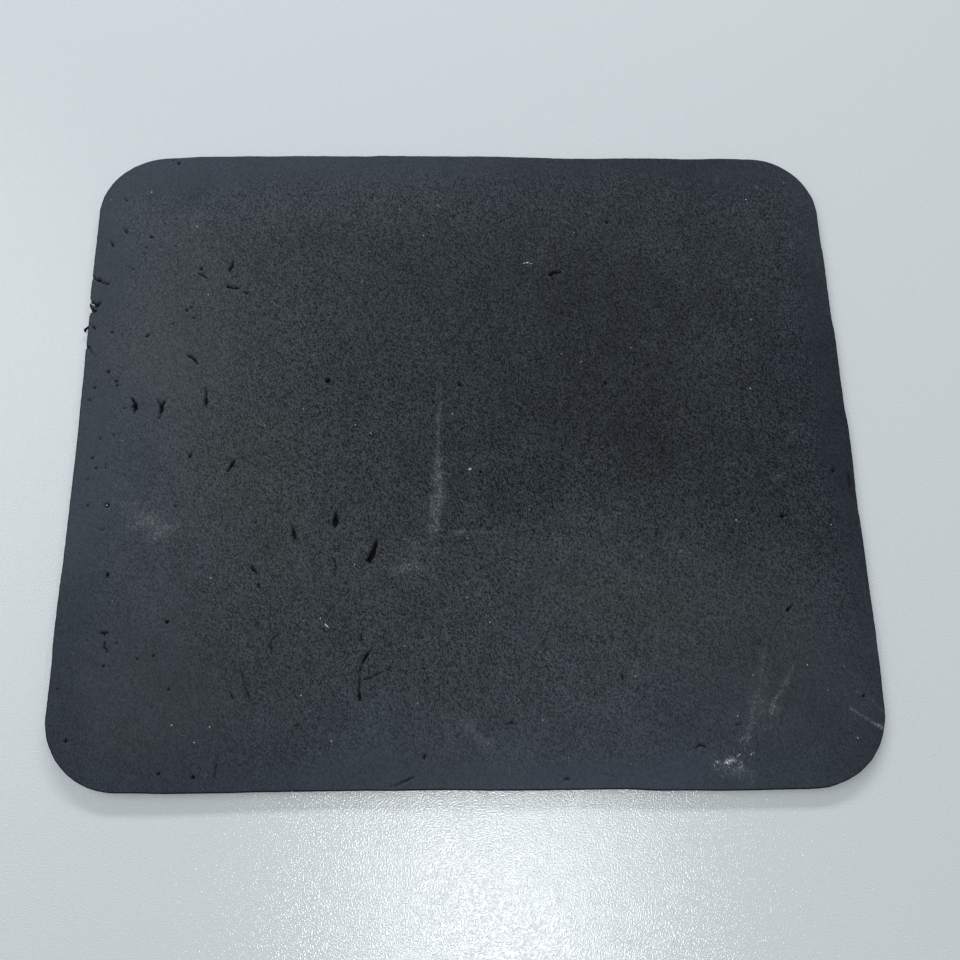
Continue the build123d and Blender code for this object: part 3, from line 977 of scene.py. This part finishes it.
class RubberLooks(bpy.types.PropertyGroup):
    """Colours and grain of the sponge rubber, its scuffs and its dust."""

    grain_size: length_property("Grain size", "Distance between the cells of the rubber's grain", 0.195, 5.0)
    grain_height: length_property("Grain height", "Height of the fine grain", 0.03, 1.0)
    grain_turn: FloatProperty(
        name="Grain turn", description="Direction that the cells are drawn out across",
        default=math.radians(29.0),
        subtype="ANGLE",
    )
    grain_stretch: FloatProperty(
        name="Grain stretch", description="How much longer the cells are than wide", default=2.2, min=0.5,
        max=4.0
    )
    grain_contrast: FloatProperty(
        name="Grain contrast", description="Difference between high and low cells", default=2.75, min=0.0,
        max=4.0
    )
    clump_share: FloatProperty(
        name="Clumps", description="How much the cells gather in lighter and darker clumps", default=0.20,
        min=0.0, max=2.0
    )
    skin_grain: FloatProperty(
        name="Grain of the skin", description="Share of the grain left where the skin is whole",
        default=0.37, min=0, max=1
    )
    # Mottle breaks up the painted sheen as well as the grey bloom.
    mottle: FloatProperty(
        name="Mottle", description="How uneven the grey bloom is", default=0.16, min=0.0, max=1.0
    )
    # The specks are painted glints on single cells.
    glint_share: FloatProperty(
        name="Dust", description="Share of the cells that hold a speck of dust", default=0.00022, min=0.0,
        max=0.5
    )
    bare_colour: colour_property("Bare rubber", "Colour of the rubber where it has no bloom", "151a20")
    # Thick bloom and painted sheen both take this lighter colour.
    bloom_and_sheen_colour: colour_property("Bloom", "Colour of the rubber where the grey bloom is thick", "3e444a")
    grime_colour: colour_property("Grime", "What the rubber's colour is multiplied by under grime", "fffcec")
    border_colour: colour_property(
        "Border", "What the rubber's colour is multiplied by near its edge", "edf2fd"
    )
    # Near black: the shreds' own dark rubber, and painted shade down in the tears.
    dark_rubber_and_tear_shade_colour: colour_property("Tears", "Colour down in the tears", "07090c")
    torn_colour: colour_property("Torn cells", "Colour of the highest cells in the tears", "14181d")
    cut_colour: colour_property("Cut edge", "Colour of the highest cells on the cut edge", "262c33")
    # A painted highlight: the lip is painted pale for the light it catches.
    lip_highlight_colour: colour_property("Frayed lip", "Colour of a thin frayed lip of rubber", "c2c6c8")
    scuff_colour: colour_property("Scuffs", "Colour of rubbed places", "75797c")
    chalk_colour: colour_property("Chalk", "Colour of chalk and lint", "c9cbc9")


class ClothLooks(bpy.types.PropertyGroup):
    """Colours of the knitted cloth and of the film that holds it."""

    yarn_colour: colour_property("Yarn", "Colour of the knitted yarn", "2e3136")
    gap_colour: colour_property("Gaps", "Colour between the stitches", "0e0f11")
    worn_colour: colour_property("Worn yarn", "Colour of the yarn where it has greyed", "3d4045")
    film_colour: colour_property("Film", "Colour of the laminating film", "16171a")


class StageLooks(bpy.types.PropertyGroup):
    """The table and the light."""

    table_colour: colour_property("Table", "Colour of the table", "ccd2d5")
    table_fleck: colour_property("Table grain", "Colour of the grain in the table", "d8dee0")
    dome_strength: FloatProperty(
        name="Sky", description="Strength of the even light from all round", default=0.26, min=0
    )
    window_power: FloatProperty(
        name="Window", description="Power of the large light behind, left", default=3.5, min=0, unit="POWER"
    )
    ceiling_power: FloatProperty(
        name="Ceiling", description="Power of the light overhead", default=9.0, min=0, unit="POWER"
    )
    back_power: FloatProperty(
        name="Low back light", description="Power of the low light behind", default=16.0, min=0,
        unit="POWER"
    )


# ---------------------------------------------------------------------------------------------------
# Pieces


def foam_face(shape):
    """The rubber's worn face on a fine grid set in by the rim radius.
    Gives x, y, z, then (depth from the edge, the way out) and (nearness to a tear, its painted shade).
    The outline is crept, bitten and roughened; heights are lowered by tears and raised by lumps."""
    radius, rim = shape.corner_radius / MM, shape.rim_radius / MM
    rough, lump = shape.cut_roughness / MM, shape.lump_height / MM
    flat_x, flat_y = mat_plan(shape.foam_columns, shape.foam_rows, rim, radius)
    depth, out_x, out_y = to_edge(flat_x, flat_y, radius)
    x, y = crept(flat_x, flat_y)
    x = bitten(x, y)
    ragged_reach = 1.2
    rag = rough * (0.6 * value_noise(x, y, 1.3, 11) + 0.6 * value_noise(x, y, 3.7, 12))
    rag *= np.exp(-np.maximum(depth - rim, 0.0) / ragged_reach)
    x, y = x + rag * out_x, y + rag * out_y

    cut, near, tear_shade = tears_and_pits(x, y)
    calm = smooth_step((depth - 4.0) / 12.0)
    fine, coarse = value_noise(x, y, 1.5, 21), value_noise(x, y, 3.1, 22)
    lumps = lump * (0.6 * fine + 0.5 * coarse) * (0.45 + 0.55 * calm)
    lumps += 0.05 * value_noise(x, y, 24.0, 23)
    return x, y, FOAM_TOP + lumps - cut, (depth, out_x, out_y), (near, tear_shade)


def foam_wall(shape, x, y, z, out_x, out_y):
    """Rings below the rim of the face: a quarter circle outwards and down, then the wall straight down.
    Noise roughens the wall as the knife left it, and fades out at the bottom ring."""
    rim, rough = shape.rim_radius / MM, shape.cut_roughness / MM
    height = FOAM_TOP - FOAM_BOTTOM
    turn = np.radians([30.0, 60.0, 90.0])
    steps_down = 4
    out = np.concatenate([rim * np.sin(turn), np.full(steps_down, rim)])
    straight = np.linspace(height - rim, 0.0, steps_down + 1)[1:]
    up = np.concatenate([height - rim * (1.0 - np.cos(turn)), straight])
    rim_x, rim_y, rim_z = around(x), around(y), around(z)
    share = (rim_z - FOAM_BOTTOM) / height
    wall_z = FOAM_BOTTOM + up[:, None] * share[None]
    noise = rough * value_noise(rim_x[None] + 3.1 * wall_z, rim_y[None] - 2.3 * wall_z, 0.8, 31)
    noise[-1] = 0.0
    spread = out[:, None] + 0.8 * noise
    return rim_x[None] + spread * around(out_x), rim_y[None] + spread * around(out_y), wall_z


def wear_maps(x, y, depth, near, tear_shade):
    """What the rubber's material reads at each point of the face, each from 0 to 1."""
    blur = 0.5 * value_noise(x, y, 2.3, 41) + 0.3 * value_noise(x, y, 1.1, 42)
    wander = 9.0 * value_noise(x, y, 26.0, 43) + 4.0 * value_noise(x, y, 11.0, 44)
    # Grey bloom and painted sheen: the blots lighten the rubber where a lamp's sheen is painted in.
    base_bloom_and_sheen = 0.30
    border_calm = smooth_step((13.0 - depth + 0.35 * wander) / 9.0)
    return {
        "tear": near,
        "tear_shade": tear_shade,
        "scuff": paint(x, y, SCUFFS, blur),
        "chalk": paint(x, y, CHALK, blur),
        "grime": blots(x + 0.5 * wander, y, GRIME),
        "border": smooth_step((24.0 - depth + wander) / 22.0),
        "bloom_and_sheen": blots(x + 0.5 * wander, y - 0.5 * wander, BLOOM_AND_SHEEN, base_bloom_and_sheen),
        "skin": np.maximum(border_calm, blots(x + wander, y, CALM_PLACES)),
    }


class DESKMAT_OT_rubber(bpy.types.Operator):
    """Makes the sheet of sponge rubber with its worn face"""

    bl_idname = "desk_mat.rubber"
    bl_label = "Sponge rubber"

    def execute(self, context):
        """The worn face, the rim and cut wall below it, and a coarser flat underside.
        Faces well inside a deep tear take a near-black material of painted shade, and the cut wall has a
        material of its own."""
        shape, looks = context.scene.desk_mat_shape, context.scene.desk_mat_rubber
        step = 8
        columns, rows = shape.foam_columns, shape.foam_rows
        x, y, z, (depth, out_x, out_y), (near, tear_shade) = foam_face(shape)
        wall_x, wall_y, wall_z = foam_wall(shape, x, y, z, out_x, out_y)
        under_x, under_y = crept(*mat_plan(columns // step, rows // step, 0.0, shape.corner_radius / MM))
        under_x = bitten(under_x, under_y)
        under_x, under_y = under_x[1:-1, 1:-1].ravel(), under_y[1:-1, 1:-1].ravel()
        all_x = np.concatenate([x.ravel(), wall_x.ravel(), under_x])
        all_y = np.concatenate([y.ravel(), wall_y.ravel(), under_y])
        all_z = np.concatenate([z.ravel(), wall_z.ravel(), np.full(under_x.shape, FOAM_BOTTOM)])
        all_z = all_z + lift(all_x, all_y)

        edge_values = {"border": 0.6, "skin": 0.8, "bloom_and_sheen": 0.2}
        below = len(all_x) - x.size
        maps = {
            name: np.concatenate([values.ravel(), np.full(below, edge_values.get(name, 0.0))])
            for name, values in wear_maps(x, y, depth, near, tear_shade).items()
        }
        deep = 0.8
        inside = np.where(tear_shade > deep, near, 0.0)
        torn = np.minimum(
            np.minimum(inside[:-1, :-1], inside[:-1, 1:]), np.minimum(inside[1:, 1:], inside[1:, :-1])
        ) > deep
        piece = make_piece(
            "foam_sheet",
            np.column_stack([all_x, all_y, all_z]),
            slab_faces(columns, rows, len(wall_x), step),
            (
                sponge_rubber(looks),
                # Near black for faces deep in a tear: inner rubber with painted shade.
                opened_rubber("sponge_rubber_torn_shaded", looks.dark_rubber_and_tear_shade_colour, looks.torn_colour),
                opened_rubber("sponge_rubber_cut", looks.torn_colour, looks.cut_colour),
            ),
            maps,
            np.concatenate([torn.ravel().astype(np.int32), np.full(len(wall_x) * 2 * (columns + rows), 2)]),
        )
        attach(piece, "root")
        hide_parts("foam_base")
        return {"FINISHED"}


def hanging_bits(name, lines, seed, material):
    """One piece of short lumpy tubes, each along its listed points."""
    points, faces = joined([tube(line, 10, 12, seed + i) for i, line in enumerate(lines)])
    piece = make_piece(name, points, faces, (material,))
    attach(piece, "root")


class DESKMAT_OT_shreds(bpy.types.Operator):
    """Makes the shreds of rubber that hang from the torn edge, and the frayed lip of its flap"""

    bl_idname = "desk_mat.shreds"
    bl_label = "Torn shreds"

    def execute(self, context):
        """Dark shreds as one piece, the paler lip as another."""
        looks = context.scene.desk_mat_rubber
        dark = opened_rubber("sponge_rubber_shredded", looks.dark_rubber_and_tear_shade_colour, looks.torn_colour)
        # The lip's pale colours are a painted highlight.
        pale = opened_rubber("sponge_rubber_frayed_highlight", looks.scuff_colour, looks.lip_highlight_colour)
        hanging_bits("torn_shreds", SHREDS, 61, dark)
        hanging_bits("frayed_lip", LIPS, 71, pale)
        return {"FINISHED"}


class DESKMAT_OT_flecks(bpy.types.Operator):
    """Makes the flecks of lint and chalk that lie on the rubber"""

    bl_idname = "desk_mat.flecks"
    bl_label = "Lint and chalk"

    def execute(self, context):
        """Each fleck is a flattened ellipsoid, half sunk in the rubber's face."""
        parts = []
        for number, (x, y, length, width, turn) in enumerate(FLECKS):
            z = FOAM_TOP + 0.03 + float(lift(np.array(x), np.array(y)))
            parts.append(fleck(np.array([x, y, z]), length, width, turn, 101 + number))
        points, faces = joined(parts)
        piece = make_piece("lint_flecks", points, faces, (lint_and_chalk(context.scene.desk_mat_rubber),))
        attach(piece, "root")
        return {"FINISHED"}


def thin_layer(name, context, inset, low, high, profile, material, share):
    """A closed layer under the rubber: the outline set in, and a wall whose profile is (outwards, share of
    its height). share is how much of the rubber's bites it takes."""
    shape = context.scene.desk_mat_shape
    columns, rows = shape.cloth_columns, shape.cloth_rows
    radius = shape.corner_radius / MM
    flat_x, flat_y = mat_plan(columns, rows, inset, radius)
    _, out_x, out_y = to_edge(flat_x, flat_y, radius)
    x, y = crept(flat_x, flat_y)
    x = bitten(x, y, share)

    out = np.array([p[0] for p in profile])[:, None]
    up = np.array([p[1] for p in profile])[:, None]
    wall_x, wall_y = around(x) + out * around(out_x), around(y) + out * around(out_y)
    wall_z = low + (high - low) * up + 0.0 * wall_x
    inner_x, inner_y = x[1:-1, 1:-1].ravel(), y[1:-1, 1:-1].ravel()
    all_x = np.concatenate([x.ravel(), wall_x.ravel(), inner_x])
    all_y = np.concatenate([y.ravel(), wall_y.ravel(), inner_y])
    all_z = np.concatenate([np.full(x.size, high), wall_z.ravel(), np.full(inner_x.shape, low)])
    all_z = all_z + lift(all_x, all_y)
    points = np.column_stack([all_x, all_y, all_z])
    piece = make_piece(name, points, slab_faces(columns, rows, len(profile), 1), (material,))
    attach(piece, "root")
    return piece


class DESKMAT_OT_film(bpy.types.Operator):
    """Makes the laminating film between the rubber and the cloth"""

    bl_idname = "desk_mat.film"
    bl_label = "Laminating film"

    def execute(self, context):
        """The outline set back from the edge, with a slightly bulging wall where it squeezed out."""
        shape, looks = context.scene.desk_mat_shape, context.scene.desk_mat_cloth
        bulge = 0.04
        profile = ((bulge, 0.7), (bulge, 0.3), (0.0, 0.0))
        piece = thin_layer(
            "laminating_film", context, shape.film_setback / MM, FILM_LOW.z / MM, FILM_HIGH.z / MM,
            profile, laminating_film(looks), 1.0,
        )
        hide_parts("adhesive_film")
        return {"FINISHED"}


class DESKMAT_OT_cloth(bpy.types.Operator):
    """Makes the knitted cloth that the mat lies on"""

    bl_idname = "desk_mat.cloth"
    bl_label = "Knitted cloth"

    def execute(self, context):
        """The whole outline, with the cut edge rounded over by the press."""
        looks = context.scene.desk_mat_cloth
        profile = ((0.06, 0.85), (0.10, 0.5), (0.06, 0.15), (0.0, 0.0))
        piece = thin_layer(
            "knit_cloth_sheet", context, 0.0, CLOTH_LOW.z / MM, CLOTH_HIGH.z / MM, profile,
            jersey_knit(looks), 0.7
        )
        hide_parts("cloth_face")
        return {"FINISHED"}


class DESKMAT_OT_stage(bpy.types.Operator):
    """Makes the table, the light and the camera"""

    bl_idname = "desk_mat.stage"
    bl_label = "Table, light and camera"

    def execute(self, context):
        """A flat table a hair below the mat; a pale sky, a large window light, a ceiling light and a low
        one."""
        looks = context.scene.desk_mat_stage
        half, gap = 1500.0, 0.02
        corners = np.array(
            [[-half, -half, -gap], [half, -half, -gap], [half, half, -gap], [-half, half, -gap]]
        )
        table = make_piece("table_top", corners, [np.array([[0, 1, 2, 3]])], (table_laminate(looks),))

        world = bpy.data.worlds.new("pale_room")
        world.use_nodes = True
        background = world.node_tree.nodes["Background"]
        background.inputs["Color"].default_value = (0.93, 0.97, 1.0, 1.0)
        background.inputs["Strength"].default_value = looks.dome_strength
        context.scene.world = world

        lamps = (
            ("window_light", looks.window_power, (-0.75, 0.30, 0.80), 0.8, 0.8),
            ("ceiling_light", looks.ceiling_power, (0.08, -0.36, 1.74), 0.34, 0.34),
            ("low_back_light", looks.back_power, (0.0, 1.37, 0.61), 1.4, 0.16),
        )
        for name, power, place, wide, tall in lamps:
            data = bpy.data.lights.new(name, "AREA")
            data.shape = "RECTANGLE"
            data.size, data.size_y = wide, tall
            data.energy = power
            data.color = (0.96, 0.98, 1.0)
            lamp = bpy.data.objects.new(name, data)
            context.scene.collection.objects.link(lamp)
            lamp.location = place
            lamp.rotation_euler = (-Vector(place)).to_track_quat("-Z", "Y").to_euler()

        camera_data = bpy.data.cameras.new("viewing_camera")
        camera_data.sensor_width = 36.0
        camera_data.lens = 36.0
        camera_data.clip_start = 0.01
        camera = bpy.data.objects.new("viewing_camera", camera_data)
        context.scene.collection.objects.link(camera)
        turn, tilt, roll = (math.radians(a) for a in (-6.297, 16.809, 5.799))
        camera.matrix_world = (
            Matrix.Translation((-0.0050, -0.0846, 0.2463 + FOAM_HIGH.z))
            @ Matrix.Rotation(turn, 4, "Z")
            @ Matrix.Rotation(tilt, 4, "X")
            @ Matrix.Rotation(roll, 4, "Z")
        )
        context.scene.camera = camera
        context.scene.view_settings.view_transform = "Standard"
        return {"FINISHED"}


OPERATORS = (
    DESKMAT_OT_rubber,
    DESKMAT_OT_shreds,
    DESKMAT_OT_flecks,
    DESKMAT_OT_film,
    DESKMAT_OT_cloth,
    DESKMAT_OT_stage,
)
SETTINGS = (
    ("desk_mat_shape", MatShape),
    ("desk_mat_rubber", RubberLooks),
    ("desk_mat_cloth", ClothLooks),
    ("desk_mat_stage", StageLooks),
)


class DESKMAT_PT_panel(bpy.types.Panel):
    """Buttons for each piece and the settings they use"""

    bl_idname = "DESKMAT_PT_panel"
    bl_label = "Desk mat"
    bl_space_type = "VIEW_3D"
    bl_region_type = "UI"
    bl_category = "Desk mat"

    def draw(self, context):
        """One button for each operator, then the settings group by group."""
        for operator in OPERATORS:
            self.layout.operator(operator.bl_idname)
        for name, group in SETTINGS:
            box = self.layout.box()
            settings = getattr(context.scene, name)
            for label in group.__annotations__:
                box.prop(settings, label)


def register():
    """Adds the classes and hangs the settings on the scene."""
    for name, group in SETTINGS:
        bpy.utils.register_class(group)
        setattr(bpy.types.Scene, name, PointerProperty(type=group))
    for item in (*OPERATORS, DESKMAT_PT_panel):
        bpy.utils.register_class(item)


def unregister():
    """Takes the settings and the classes away again."""
    for item in (DESKMAT_PT_panel, *reversed(OPERATORS)):
        bpy.utils.unregister_class(item)
    for name, group in reversed(SETTINGS):
        delattr(bpy.types.Scene, name)
        bpy.utils.unregister_class(group)


def main():
    """Builds every piece and the stage."""
    register()
    bpy.ops.desk_mat.rubber()
    bpy.ops.desk_mat.shreds()
    bpy.ops.desk_mat.flecks()
    bpy.ops.desk_mat.film()
    bpy.ops.desk_mat.cloth()
    bpy.ops.desk_mat.stage()


if __name__ == "__main__":
    main()
